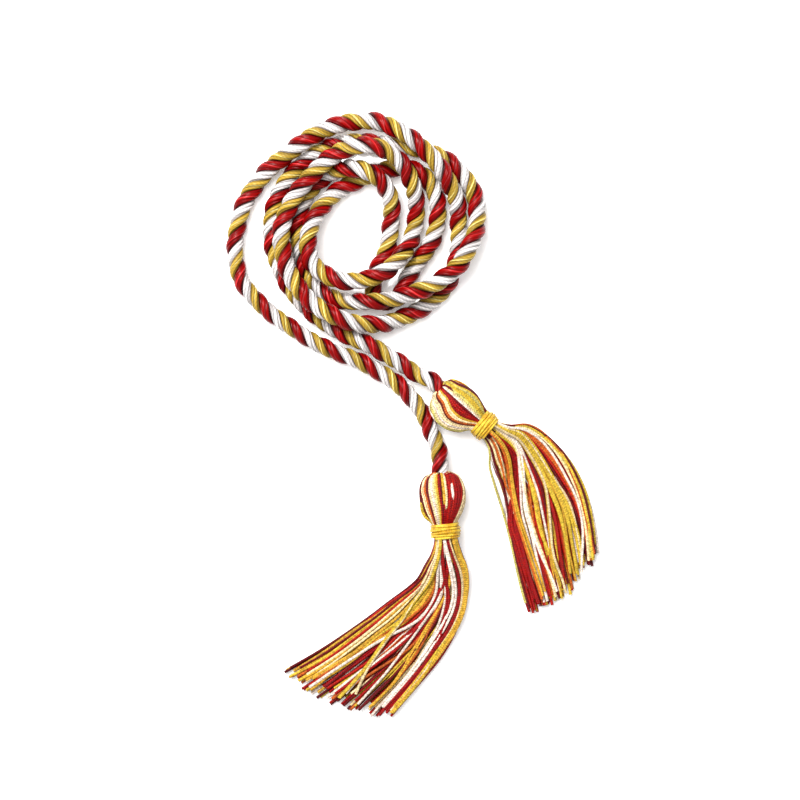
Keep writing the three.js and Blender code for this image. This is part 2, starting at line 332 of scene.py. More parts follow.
def made(piece, tree, **sizes):
    """Runs the tree on the piece's lines with these sizes, and leaves the piece as a plain mesh."""
    modifier = piece.modifiers.new("shape", "NODES")
    modifier.node_group = tree
    for item in tree.interface.items_tree:
        if item.in_out == "INPUT" and item.name in sizes:
            modifier[item.identifier] = sizes[item.name]
    bpy.context.view_layer.update()
    graph = bpy.context.evaluated_depsgraph_get()
    mesh = bpy.data.meshes.new_from_object(piece.evaluated_get(graph))
    piece.modifiers.remove(modifier)
    piece.data = mesh
    return piece


# ---- camera: straight down on the cord, as it was photographed ----

VIEW_MIDDLE = (-6.82 * MM, 6.86 * MM)
VIEW_WIDTH = 416 * MM
MID_HEIGHT = 8 * MM
LENS = 150
SENSOR = 36

camera_data = bpy.data.cameras.new("camera")
camera_data.lens = LENS
camera_data.sensor_width = SENSOR
camera_data.clip_end = 20
camera_height = MID_HEIGHT + VIEW_WIDTH * LENS / SENSOR
bpy.context.scene.camera = laid_out("camera", camera_data, (*VIEW_MIDDLE, camera_height))


# ---- the cord ----

CORD_STEP = 1.1 * MM
REST_HEIGHT = 4.588 * MM
CROSSING_RISE = 9.8 * MM
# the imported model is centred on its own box, which moved the cord by this much
CENTRING = np.array([-0.042 * MM, 0.018 * MM, 0])

# the cord's line from the lower tassel to the right one: x and y in millimetres, and the level,
# which is 0 on the floor and 1 on top of another stretch of the cord
ROUTE = [
    # out of the lower tassel
    (14.5, -31.6, 0.45), (14, -25.4, 0.42), (13, -18.1, 0.2), (9.6, -9.8, 0.03), (5.2, -0.4, 0),
    (0.2, 6.8, 0), (-5.7, 13.1, 0), (-13.5, 19.1, 0), (-22.1, 24, 0), (-31, 28.4, 0),
    (-40.3, 31.8, 0), (-49.7, 36.2, 0), (-58.8, 41.7, 0), (-67.6, 47.4, 0), (-76.5, 54.2, 0),
    (-84.3, 62, 0), (-90, 70.3, 0),
    # outer turn: up the left side, over the top, down the right side and along the bottom
    (-92.3, 79.6, 0), (-92.6, 89, 0), (-91.3, 98.4, 0), (-88.4, 107.7, 0), (-84, 116, 0),
    (-78, 123.8, 0.1), (-69.7, 131.6, 0.3), (-60.3, 138.4, 0.6), (-50.5, 145.2, 0.6),
    (-40.1, 149.3, 0.6), (-30.2, 151.7, 0.5), (-20.8, 151.7, 0.6), (-11.5, 148.8, 0.8), (-2.6, 143.6, 1),
    (5.7, 136.8, 1.05), (12.7, 129, 1.05), (18.2, 120.5, 0.8), (22.3, 111.9, 0.4), (23.6, 102.5, 0),
    (23.9, 93.2, 0), (23.1, 83.8, 0), (21.3, 74.4, 0), (16.6, 65.1, 0), (9.3, 57.8, 0),
    (0, 52.1, 0), (-9.9, 47.9, 0.2), (-19.3, 46.1, 0.6), (-28.6, 46.4, 1), (-37.5, 49, 1.1),
    (-45.3, 52.6, 1.1),
    # second turn: up the left side on the other half, over the top and down the right side
    (-52.5, 57.5, 1), (-58.8, 64, 1), (-64, 72.4, 1), (-67.1, 81.7, 0.9), (-68.4, 91.1, 0.85),
    (-67.1, 100.4, 0.85), (-63.2, 109.3, 0.85), (-57.5, 117.6, 0.95), (-51, 124.9, 1),
    (-43.7, 131.6, 1.1), (-35.9, 136.3, 1.4), (-27.1, 138.1, 1.9), (-18.2, 137.4, 1.9),
    (-10.4, 133.2, 1.5), (-4.2, 127, 1.15), (-0.3, 118.6, 0.9), (1.5, 109.3, 0.3), (1.5, 99.9, 0),
    (-0.8, 91.1, 0.2), (-4.7, 83.3, 0.8), (-10.4, 76.5, 1.2), (-18.2, 71.3, 1.3), (-27.1, 68.7, 1.3),
    (-36.4, 68.7, 1.2),
    # third turn, the innermost, and out to the fold
    (-45.3, 71.6, 1), (-51.8, 77.3, 0.95), (-54.6, 85.4, 0.9), (-53.8, 94.2, 0.8), (-50.5, 102.5, 0.5),
    (-45.5, 109.8, 0.2), (-38.5, 116, 0), (-29.7, 121, 0), (-20.8, 124.6, 0), (-11.5, 127.5, 0),
    (-2.6, 127.5, 0), (5.7, 123.8, 0), (10.6, 116.6, 0), (13, 107.7, 0), (12.7, 98.9, 0),
    (9.9, 90, 0), (5.2, 82, 0), (0.2, 75.2, 0), (-3.4, 69.5, 0),
    # the fold at the cord's middle, under two other stretches
    (-5, 64.6, 0), (-7.6, 60.1, 0), (-13, 58.1, 0), (-18.5, 59.9, 0), (-21.1, 64.8, 0),
    (-20.3, 70.5, 0),
    # the other half: up the inside, over the top, down the left side and along the bottom
    (-17.4, 76.8, 0), (-13.8, 84.3, 0), (-12, 93.7, 0), (-11.2, 103.6, 0.15), (-12.2, 112.9, 0.6),
    (-16.9, 120.7, 1), (-24.5, 125.7, 1), (-33.6, 127.2, 0.75), (-42.4, 125.4, 0.05),
    (-49.7, 120.5, 0), (-55.7, 112.9, 0), (-59, 104.1, 0), (-60.1, 94.7, 0), (-59.3, 85.9, 0),
    (-57, 77, 0), (-52.8, 68.7, 0), (-46.3, 62.2, 0), (-37.5, 58.8, 0.2), (-28.1, 57.8, 0.8),
    (-18.7, 58.1, 1), (-9.9, 59.4, 1), (-1.1, 62, 1), (7.8, 65.3, 1), (15.6, 69.8, 1),
    # out over the first half and round the coil, between its outer turn and the rest
    (22.9, 76, 1), (28.1, 83.8, 0.95), (32, 92.6, 0.6), (33.5, 102, 0.2), (32.5, 111.4, 0),
    (28.6, 120.2, 0), (22.1, 128, 0), (14, 133.7, 0), (5.7, 136.8, 0), (-3.1, 138.7, 0),
    (-12.5, 139.7, 0), (-22.4, 141, 0), (-31.7, 141.3, 0), (-40.6, 139.7, 0), (-49.4, 136.1, 0),
    (-57.2, 130.3, 0), (-64, 123.3, 0), (-69.2, 115.5, 0), (-72.6, 106.7, 0), (-73.9, 97.3, 0),
    (-73.3, 88, 0), (-70.7, 78.6, 0), (-66.8, 69.8, 0), (-61.4, 61.7, 0), (-54.6, 54.2, 0),
    (-47.1, 47.9, 0), (-38.8, 42.7, 0.1),
    # into the right tassel
    (-30.2, 38.6, 0.2), (-21.6, 35, 0.35), (-13, 30, 0.35), (-4.2, 24.5, 0.2),
    (3.1, 19.9, 0.2), (9.3, 17.2, 0.42), (14.5, 12.8, 0.45),
]

# how far along the cord, in millimetres, the red ply lies on top, and the turns up to there
RED_ON_TOP = [(7, 0), (92, 4), (176, 8), (263, 12), (350, 16), (432, 20), (518, 24), (606, 28), (698, 32),
              (783, 36), (868, 40), (955, 44), (1039, 48), (1133, 52), (1217, 56), (1304, 60), (1387, 64),
              (1448, 67)]
# and how long a turn is before the first of these places and after the last
END_TURN = 21.5

route = np.array([(x * MM, y * MM, REST_HEIGHT + level * CROSSING_RISE) for x, y, level in ROUTE])
route += CENTRING
centre, along = through(route, CORD_STEP)
centre[:, 2] = np.maximum(centre[:, 2], REST_HEIGHT)
cord_length = float(along[-1])

travel = np.gradient(centre, axis=0)
travel /= np.linalg.norm(travel, axis=1, keepdims=True)
side = np.cross([0, 0, 1], travel)
side /= np.linalg.norm(side, axis=1, keepdims=True)
over = np.cross(travel, side)

marks, counts = np.array(RED_ON_TOP, float).T
far = along / MM
turns = np.interp(far, marks, counts)
turns += (np.minimum(far - marks[0], 0) + np.maximum(far - marks[-1], 0)) / END_TURN

# the loose tails are drawn a little thinner than the coil, and all of it is slightly uneven
TAIL_SIZE = 0.95
in_coil = eased(along, 0.13, 0.2) * (1 - eased(along, cord_length - 0.12, cord_length - 0.06))
size = TAIL_SIZE + (1 - TAIL_SIZE) * in_coil
size *= 1 + 0.018 * np.sin(along / 0.037 + 1.0) + 0.012 * np.sin(along / 0.0113 + 2.2)

# each ply's dye, its painted shade in the grooves, and its painted highlight along the ply's top
PLY_DYES_AND_PAINTED_LIGHT = [
    (rgb(122, 0, 0), rgb(44, 0, 6), rgb(176, 40, 42)),
    (rgb(158, 128, 46), rgb(74, 44, 8), rgb(212, 198, 122)),
    (rgb(198, 192, 190), rgb(142, 130, 126), rgb(234, 230, 228)),
]
STRAND_LAY = 24 * MM
TICK_LENGTH = 1.5 * MM


def cord_satin():
    """Satin plies: a dye each, fine fibres along them, a painted highlight along each ply's top, and painted shade
    where they meet.
    """
    satin = Finish("cord_satin", Specular_IOR_Level=0.12)
    ply = satin.value("ply")
    along = satin.value("along")
    x, y = satin.value("round_x"), satin.value("round_y")
    angle = y.math("ARCTAN2", x)
    drawn_out = {"X": along * 90.0 + ply * 9.0, "Y": x * 2.6, "Z": y * 2.6}
    drawn_out = satin.node("ShaderNodeCombineXYZ", inputs=drawn_out)
    fibres = satin.node("ShaderNodeTexNoise", inputs={"Vector": drawn_out, "Scale": 1.0, "Detail": 3.0})
    strands = (angle * 6 + along * (TAU / STRAND_LAY)).sine().between(-1.0, 0.1)
    ticks = (angle * 5 - along * (TAU / TICK_LENGTH) + fibres * 5).sine()
    uneven = satin.noise(420.0)
    # painted shade: the colour darkens into the grooves between the plies
    groove_shade = x.between(-0.1, 0.8)
    # painted highlight: a pale line of colour along the top of each ply, standing for the satin's shine
    crest_highlight = (angle + (fibres - 0.5) * 0.7).math("ABSOLUTE").between(0.02, 0.17)
    # each ply's dye with its painted shade (deep) in the grooves and its painted highlight (bright) along its top
    dyes = []
    for dye, deep, bright in PLY_DYES_AND_PAINTED_LIGHT:
        shaded = satin.blend(groove_shade, full(deep), full(dye))
        dyes.append(satin.blend(crest_highlight, full(bright), shaded))
    colour = satin.blend(ply.between(0.4, 0.6), dyes[0], dyes[1])
    pale = ply.between(1.4, 1.6)
    colour = satin.blend(pale, colour, dyes[2])
    # the pale ply's strands stand out more, and the red ply hardly shows its cross ticks
    level = (fibres.between(0.33, 0.67) * 0.6 + 0.66) * (strands * (pale * 0.14 + 0.36) + 0.7 - pale * 0.12)
    # more painted shade: darker still towards the grooves
    level = level * (groove_shade * 0.25 + 0.75)
    level = level * (ticks * (ply.between(0.2, 0.8) * 0.1 + 0.02) + 0.97)
    height = fibres * 2.2 + strands * 1.1 + uneven * 0.2
    roughness = 0.27 + uneven * 0.08
    return satin.done(satin.shade(colour, level), roughness, height, 0.0002)


cord = lines_object("cord", [centre], {"turns": [turns], "side": [side], "over": [over], "size": [size]})
made(cord, ply_tree(), **{
    "Ply count": 3, "Ply reach": 2.55 * MM, "Ply height": 2.25 * MM, "Ply width": 2.45 * MM,
    "First ply extra": 0.12, "Sides": 14, "Finish": cord_satin()})
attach(cord, "root")
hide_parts("twisted_cord")


# ---- the tassels ----

AXIS_HEIGHT = 8.998 * MM
HEAD_GAP = 0.3 * MM
HEAD_LENGTH = 25 * MM
HEAD_HALF_WIDTH = 12 * MM
HEAD_HALF_HEIGHT = 8.998 * MM
BINDING_START = 25.3 * MM
BINDING_LENGTH = 8.3 * MM
BINDING_RADIUS = 7.9 * MM
NECK_RADIUS = 6.5 * MM
SKIRT_START = 33.9 * MM
SKIRT_LENGTH = 100 * MM

# how full the head is on its way from the cord to the neck
HEAD_OUTLINE = [(-0.1, 0.3), (0, 0.5), (0.05, 0.74), (0.18, 0.92), (0.36, 1), (0.58, 0.98), (0.78, 0.85),
                (0.93, 0.66), (1, 0.54), (1.15, 0.5)]

# each skirt's two edges, in shares of its length: inner along and across, outer along and across
SKIRT_EDGES = {
    "lower": [(0, -0.07, 0, 0.07), (0.19, -0.165, 0.22, 0.095), (0.31, -0.335, 0.42, 0.05),
              (0.42, -0.515, 0.595, -0.06), (0.525, -0.7, 0.745, -0.2), (0.62, -0.9, 0.895, -0.35)],
    "right": [(0, -0.07, 0, 0.07), (0.17, -0.185, 0.17, 0.165), (0.33, -0.29, 0.365, 0.17),
              (0.48, -0.395, 0.55, 0.1), (0.625, -0.505, 0.71, -0.01), (0.77, -0.605, 0.855, -0.14)],
}

YARNS = {
    "red": rgb(146, 12, 0), "crimson": rgb(132, 0, 2), "maroon": rgb(86, 0, 6),
    "yellow": rgb(188, 156, 46), "gold": rgb(184, 138, 40), "orange": rgb(170, 80, 22),
    "cream": rgb(212, 188, 142), "white": rgb(214, 197, 183), "olive": rgb(176, 164, 88),
}

# The loops on top of each head, in the order they lie: the yarn, then how far across the head it
# runs, in shares of the half width, at these shares of the way from the cord to the binding.
HEAD_STATIONS = (0, 0.2, 0.45, 0.7, 1)
HEAD_YARNS = {
    "lower": [
        ("maroon", -0.4, -0.97, -1, -0.88, -0.54), ("maroon", -0.38, -0.92, -0.95, -0.84, -0.51),
        ("cream", -0.36, -0.8, -0.8, -0.71, -0.48), ("orange", -0.32, -0.71, -0.68, -0.59, -0.42),
        ("maroon", -0.4, -0.63, -0.6, -0.51, -0.37),
        ("cream", -0.35, -0.52, -0.51, -0.42, -0.31), ("white", -0.32, -0.44, -0.43, -0.34, -0.25),
        ("cream", -0.28, -0.36, -0.33, -0.26, -0.2), ("olive", -0.25, -0.3, -0.27, -0.22, -0.18),
        ("gold", -0.2, -0.23, -0.2, -0.16, -0.16), ("crimson", -0.12, -0.13, -0.11, -0.08, -0.1),
        ("maroon", -0.06, -0.06, -0.05, -0.03, -0.05), ("crimson", 0.02, 0.06, 0.07, 0.03, 0),
        ("crimson", 0.12, 0.2, 0.21, 0.12, 0.03), ("red", 0.2, 0.29, 0.3, 0.2, 0.08),
        ("crimson", 0.26, 0.38, 0.39, 0.28, 0.12), ("red", 0.32, 0.47, 0.49, 0.37, 0.17),
        ("crimson", 0.38, 0.56, 0.58, 0.46, 0.22), ("crimson", 0.43, 0.66, 0.7, 0.56, 0.27),
        ("red", 0.45, 0.75, 0.79, 0.62, 0.3), ("cream", 0.49, 0.84, 0.88, 0.71, 0.35),
        ("cream", 0.5, 0.87, 0.92, 0.8, 0.41),
    ],
    "right": [
        ("olive", -0.48, -1, -1.22, -1.08, -0.58), ("cream", -0.42, -0.9, -1.1, -0.97, -0.52),
        ("white", -0.38, -0.8, -1, -0.88, -0.46), ("cream", -0.34, -0.7, -0.9, -0.8, -0.4),
        ("cream", -0.3, -0.6, -0.8, -0.72, -0.34), ("maroon", -0.24, -0.48, -0.74, -0.68, -0.29),
        ("orange", -0.18, -0.4, -0.69, -0.61, -0.25), ("cream", -0.1, -0.24, -0.49, -0.5, -0.17),
        ("gold", -0.02, -0.14, -0.39, -0.41, -0.12), ("crimson", 0, -0.08, -0.3, -0.28, -0.08),
        ("red", 0.02, -0.04, -0.2, -0.2, -0.05), ("crimson", 0.05, -0.01, -0.1, -0.11, -0.02),
        ("maroon", 0.1, 0.03, 0, 0, 0.01), ("white", 0.14, 0.1, 0.09, 0.07, 0.04),
        ("cream", 0.2, 0.17, 0.17, 0.14, 0.09), ("olive", 0.28, 0.26, 0.28, 0.24, 0.15),
        ("yellow", 0.32, 0.33, 0.37, 0.34, 0.22), ("yellow", 0.36, 0.4, 0.47, 0.45, 0.29),
        ("olive", 0.4, 0.46, 0.57, 0.56, 0.36), ("yellow", 0.42, 0.5, 0.65, 0.65, 0.41),
        ("maroon", 0.42, 0.53, 0.72, 0.73, 0.47),
    ],
}
# yarns that show only for a part of their way, between the two last shares, and lie deep elsewhere
HEAD_PEEKS = {
    "lower": [
        ("white", 0.36, 0.4, 0.43, 0.28, 0.12, 0.22, 0.62), ("gold", 0.02, 0.05, 0.06, 0.04, 0, -1, 0.7),
        ("cream", 0.08, 0.13, 0.15, 0.1, 0.02, -1, 0.76),
        ("yellow", -0.6, -0.98, -1.04, -1.16, -0.64, 0.56, 1.4),
    ],
    "right": [("maroon", 0.2, 0.25, 0.24, 0.2, 0.15, -1, 0.26)],
}
# how far each head swells to its two sides, in half widths, and how much further the first sags
HEAD_SIDES = {"lower": (-0.96, 0.96), "right": (-1.24, 0.8)}
HEAD_SAG = {"lower": 0.12, "right": 0}

# The yarns that show on each skirt, from the lowest to the topmost: the yarn, then how far it
# lies from the inner edge to the outer one at these shares of the way down.
SKIRT_STATIONS = (0, 0.15, 0.3, 0.45, 0.6, 0.8, 1)
SKIRT_YARNS = {
    "lower": [
        ("crimson", 0.3, 0.3, 0.32, 0.36, 0.37, 0.36, 0.38), ("crimson", 0.35, 0.38, 0.45, 0.45, 0.42, 0.38, 0.36),
        ("maroon", 0.3, 0.3, 0.32, 0.34, 0.33, 0.34, 0.36), ("maroon", 0.58, 0.58, 0.56, 0.54, 0.55, 0.6, 0.62),
        ("crimson", 0.6, 0.6, 0.6, 0.62, 0.62, 0.62, 0.62), ("maroon", 0.6, 0.62, 0.66, 0.72, 0.72, 0.74, 0.75),
        ("maroon", 1, 1, 0.98, 0.97, 0.96, 0.95, 0.93), ("maroon", 0.1, 0.04, 0, 0, 0, 0, 0),
        ("red", 0.2, 0.1, 0.03, 0.02, 0.05, 0.06, 0.04), ("red", 0.2, 0.14, 0.13, 0.13, 0.13, 0.13, 0.13),
        ("orange", 0.15, 0.1, 0.11, 0.09, 0.12, 0.14, 0.12), ("gold", 0.1, 0.08, 0.06, 0.05, 0.03, 0.04, 0.05),
        ("yellow", 0.12, 0.1, 0.08, 0.09, 0.09, 0.09, 0.07), ("yellow", 0.18, 0.16, 0.16, 0.16, 0.17, 0.17, 0.16),
        ("gold", 0.25, 0.3, 0.38, 0.38, 0.3, 0.24, 0.2), ("cream", 0.15, 0.18, 0.2, 0.22, 0.2, 0.2, 0.22),
        ("maroon", 0.2, 0.1, 0.06, 0.06, 0.06, 0.06, 0.05), ("red", 0.24, 0.18, 0.14, 0.14, 0.13, 0.13, 0.12),
        ("cream", 0.18, 0.16, 0.17, 0.15, 0.16, 0.16, 0.16), ("red", 0.3, 0.31, 0.33, 0.34, 0.31, 0.28, 0.27),
        ("orange", 0.3, 0.33, 0.45, 0.4, 0.3, 0.27, 0.24), ("gold", 0.2, 0.24, 0.26, 0.27, 0.25, 0.26, 0.3),
        ("yellow", 0.22, 0.27, 0.32, 0.34, 0.29, 0.3, 0.28), ("orange", 0.62, 0.62, 0.6, 0.66, 0.66, 0.56, 0.5),
        ("maroon", 0.64, 0.64, 0.68, 0.7, 0.7, 0.73, 0.75), ("gold", 0.64, 0.64, 0.64, 0.64, 0.7, 0.78, 0.78),
        ("orange", 0.66, 0.66, 0.66, 0.68, 0.74, 0.79, 0.8), ("white", 0.38, 0.42, 0.58, 0.57, 0.53, 0.5, 0.55),
        ("white", 0.42, 0.45, 0.6, 0.57, 0.6, 0.67, 0.69), ("crimson", 0.5, 0.55, 0.52, 0.54, 0.54, 0.5, 0.48),
        ("white", 0.3, 0.35, 0.5, 0.51, 0.36, 0.29, 0.28), ("white", 0.3, 0.47, 0.66, 0.76, 0.8, 0.84, 0.86),
        ("crimson", 0.26, 0.46, 0.7, 0.8, 0.87, 0.9, 0.91), ("white", 0.4, 0.62, 0.78, 0.8, 0.82, 0.85, 0.87),
        ("white", 0.44, 0.68, 0.83, 0.85, 0.85, 0.87, 0.88), ("crimson", 0.56, 0.77, 0.88, 0.89, 0.87, 0.91, 0.91),
        ("cream", 0.62, 0.85, 0.93, 0.93, 0.92, 0.95, 0.95), ("gold", 0.9, 1, 0.99, 0.97, 0.96, 0.96, 0.96),
        ("yellow", 0.82, 0.95, 0.96, 0.94, 0.92, 0.94, 0.95), ("gold", 0.75, 0.9, 0.97, 0.96, 0.95, 0.95, 0.95),
        ("cream", 0.2, 0.22, 0.26, 0.33, 0.38, 0.49, 0.64), ("yellow", 0.24, 0.26, 0.25, 0.31, 0.36, 0.46, 0.53),
    ],
    "right": [
        ("olive", 0.1, 0, 0, 0, 0, 0, 0.01), ("maroon", 0.12, 0.13, 0.11, 0.05, 0.02, 0.03, 0.03),
        ("cream", 0.2, 0.19, 0.17, 0.14, 0.12, 0.13, 0.15), ("red", 0.5, 0.44, 0.26, 0.04, 0.03, 0.05, 0.06),
        ("crimson", 0.54, 0.48, 0.29, 0.06, 0.06, 0.08, 0.08), ("crimson", 0.58, 0.52, 0.33, 0.1, 0.08, 0.11, 0.11),
        ("crimson", 0.6, 0.56, 0.38, 0.14, 0.11, 0.13, 0.14), ("crimson", 0.62, 0.58, 0.42, 0.19, 0.14, 0.15, 0.17),
        ("cream", 0.35, 0.28, 0.16, 0.2, 0.18, 0.2, 0.22), ("orange", 0.3, 0.26, 0.16, 0.18, 0.17, 0.19, 0.22),
        ("crimson", 0.5, 0.5, 0.5, 0.5, 0.3, 0.29, 0.29), ("crimson", 0.64, 0.62, 0.56, 0.5, 0.45, 0.4, 0.36),
        ("maroon", 0.64, 0.62, 0.58, 0.56, 0.55, 0.56, 0.56), ("crimson", 0.66, 0.64, 0.6, 0.58, 0.57, 0.53, 0.5),
        ("red", 0.6, 0.6, 0.54, 0.42, 0.35, 0.36, 0.38), ("orange", 0.62, 0.58, 0.52, 0.38, 0.31, 0.33, 0.36),
        ("gold", 0.6, 0.58, 0.5, 0.45, 0.39, 0.4, 0.42), ("yellow", 0.58, 0.56, 0.5, 0.43, 0.37, 0.42, 0.46),
        ("maroon", 0.68, 0.64, 0.6, 0.54, 0.49, 0.44, 0.42), ("white", 0.72, 0.62, 0.4, 0.24, 0.22, 0.22, 0.22),
        ("white", 0.74, 0.66, 0.46, 0.28, 0.26, 0.26, 0.27), ("cream", 0.7, 0.6, 0.44, 0.32, 0.3, 0.34, 0.38),
        ("white", 0.73, 0.64, 0.42, 0.3, 0.29, 0.33, 0.4), ("white", 0.74, 0.67, 0.55, 0.49, 0.44, 0.43, 0.44),
        ("maroon", 0.8, 0.8, 0.77, 0.77, 0.8, 0.84, 0.86), ("red", 0.86, 0.83, 0.8, 0.79, 0.83, 0.86, 0.88),
        ("red", 0.95, 0.95, 0.93, 0.92, 0.93, 0.95, 0.94), ("orange", 0.88, 0.85, 0.83, 0.82, 0.84, 0.87, 0.9),
        ("yellow", 0.78, 0.7, 0.64, 0.6, 0.5, 0.43, 0.46), ("gold", 0.82, 0.74, 0.68, 0.65, 0.67, 0.66, 0.66),
        ("yellow", 0.8, 0.72, 0.66, 0.63, 0.64, 0.62, 0.6), ("yellow", 0.86, 0.77, 0.7, 0.68, 0.7, 0.7, 0.7),
        ("yellow", 0.88, 0.8, 0.72, 0.7, 0.73, 0.75, 0.76), ("orange", 0.92, 0.88, 0.85, 0.84, 0.86, 0.9, 0.93),
        ("cream", 0.9, 0.82, 0.74, 0.72, 0.77, 0.78, 0.78), ("olive", 1, 0.95, 0.94, 0.93, 0.93, 0.92, 0.9),
        ("cream", 1, 0.93, 0.92, 0.9, 0.9, 0.89, 0.86), ("yellow", 1, 0.97, 0.93, 0.94, 0.94, 0.93, 0.92),
        ("orange", 1, 1, 0.96, 0.93, 0.92, 0.92, 0.95), ("maroon", 1, 0.99, 0.975, 0.965, 0.96, 0.955, 0.96),
        ("orange", 0.42, 0.37, 0.21, 0.145, 0.15, 0.18, 0.21), ("gold", 0.46, 0.41, 0.24, 0.16, 0.16, 0.2, 0.23),
        ("cream", 0.76, 0.7, 0.63, 0.6, 0.53, 0.46, 0.5), ("white", 0.94, 0.89, 0.87, 0.86, 0.87, 0.84, 0.76),
    ],
}
# how far down each skirt its tips come, at even steps from its inner edge to its outer one
SKIRT_TIPS = {
    "lower": (1.02, 1.035, 1.1, 1.075, 1.065, 1.055, 1.02),
    "right": (1, 1.035, 1.075, 1.085, 1.045, 1.02, 1.02),
}
# nothing but the lowest yarn lies nearer the inner edge than this, so that a stray yarn stands off
STRAY_GAP = {"lower": (0, 0, 0, 0, 0, 0, 0), "right": (0, 0.11, 0.11, 0.02, 0.01, 0.01, 0.02)}
# the dyes that make broad bands, two yarns to each row, and the dye that often lies beside each
BAND_YARNS = ("crimson", "yellow", "gold")
NEAR_YARNS = {
    "red": "maroon", "crimson": "red", "maroon": "white", "yellow": "gold", "gold": "cream",
    "orange": "red", "cream": "yellow", "white": "cream", "olive": "cream",
}
# the dyes of what lies underneath, as often as each is there
UNDER_YARNS = ("maroon", "crimson", "red", "gold", "yellow", "orange", "cream", "maroon", "white", "red")

# a loop's way: out of the middle, over the head's shoulder and down it, in shares of its length
SHOULDER = np.array([0.015, 0.05, 0.1])
DOWN = np.array([0.2, 0.32, 0.45, 0.58, 0.7, 0.85, 1, 1.15])
# its first three points: how near to where it starts across, and how high in the head
MIDDLE_ACROSS = np.array([0.4, 0.6, 0.8])
MIDDLE_HEIGHT = np.array([0.16, 0.26, 0.36])
LOOP_STEP = 1.5 * MM
# how many loops lie underneath on either side, and how deep those and the peeking ones lie
LOOPS_AROUND = 17
UNDER_DEPTH = 0.9 * MM
HALF_UNDER_DEPTH = 0.35 * MM
PEEK_DEPTH = 2.4 * MM
PEEK_PROUD = 0.35 * MM
# nearer the middle than this share of the way to its edge, nothing is pressed together
FREE_SHARE = 0.85

# a skirt's yarns: how many lie underneath, how high the pile is, how far apart the two of a band
# lie, how wide the skirt is at three shares of the way down, and where it has gathered and settled
UNDER_COUNT = 84
PILE_HEIGHT = 4.2 * MM
BAND_APART = 1.35 * MM
SKIRT_WIDTHS = ((0, 0.35, 1), (20 * MM, 40 * MM, 62 * MM))
GATHERED = 0.12
SETTLED = 0.34
YARN_POINTS = 15
YARN_STEP = 2.0 * MM


class Tassel:
    """Where one tassel is, and how far along it, across it and up a point of it lies."""

    def __init__(self, name, end, before):
        self.name = name
        heading = np.array([end[0] - before[0], end[1] - before[1]])
        self.along = heading / np.linalg.norm(heading)
        self.across = np.array([-self.along[1], self.along[0]])
        self.start = np.array(end[:2]) + self.along * HEAD_GAP
        self.edges = np.array(SKIRT_EDGES[name]) * SKIRT_LENGTH

    def place(self, along, across, height):
        """Points of the scene, from how far along and across the tassel and how high they lie."""
        flat = self.start + np.outer(along, self.along) + np.outer(across, self.across)
        return np.column_stack([flat, np.broadcast_to(height, len(flat))])

    def skirt(self, share, inward):
        """The point this share down the skirt and this share from its inner edge to its outer one."""
        steps = np.linspace(0, 1, len(self.edges))
        past = np.maximum(share - 1, 0) / steps[1]
        edges = [smooth(share, steps, column) + past * (column[-1] - column[-2]) for column in self.edges.T]
        inner, outer = np.column_stack(edges[:2]), np.column_stack(edges[2:])
        return inner + (outer - inner) * np.asarray(inward).reshape(-1, 1)


def head_fullness(share):
    """How full the head is at this share of its length."""
    return np.interp(share, *np.array(HEAD_OUTLINE).T)


def head_height(share, across, sides, above):
    """How high the head's surface is at this share of its length and this far across, in half widths."""
    reach = head_fullness(share)
    middle, half = (sides[0] + sides[1]) / 2, (sides[1] - sides[0]) / 2
    off_middle = np.clip((across - middle * reach) / (half * reach), -0.96, 0.96)
    return AXIS_HEIGHT + above * reach * HEAD_HALF_HEIGHT * np.sqrt(1 - off_middle * off_middle)


def held_in(share, across, sides, sag):
    """The places across the head, pressed together near its edges so that none lies past them."""
    sag = sag * eased(share, 0.56, 0.78) * (1 - eased(share, 0.84, 1.0))
    edge = np.where(across < 0, -sides[0] * (1 + sag), sides[1]) * head_fullness(share)
    # every edge comes in to the same round neck
    edge += (0.5 - edge) * eased(share, 0.86, 1.0)
    out = np.abs(across) / edge
    pressed = FREE_SHARE + (1 - FREE_SHARE) * np.tanh((out - FREE_SHARE) / (1 - FREE_SHARE))
    return np.sign(across) * np.where(out > FREE_SHARE, pressed, out) * edge


def any_under_yarn():
    """One of the dyes of what lies underneath."""
    return UNDER_YARNS[rng.integers(len(UNDER_YARNS))]


def head_loops(tassel):
    """Each loop's dye, its places across the head, its side (1 above, -1 below) and how deep it lies."""
    sides = HEAD_SIDES[tassel.name]
    middle, half = (sides[0] + sides[1]) / 2, (sides[1] - sides[0]) / 2
    around = [(middle + math.cos(turn) * half) * head_fullness(HEAD_STATIONS)
              for turn in np.linspace(0, math.pi, LOOPS_AROUND + 2)[1:-1]]
    loops = [(any_under_yarn(), row, side, UNDER_DEPTH) for side in (-1, 1) for row in around]
    for dye, *row in HEAD_YARNS[tassel.name]:
        # each loop that shows has a like one half under it
        loops.append((dye, np.array(row) + rng.choice((-0.07, 0.07)), 1, HALF_UNDER_DEPTH))
        loops.append((dye, np.array(row), 1, 0))
    loops += [(dye, np.array(row), 1, (first, last)) for dye, *row, first, last in HEAD_PEEKS[tassel.name]]
    return loops


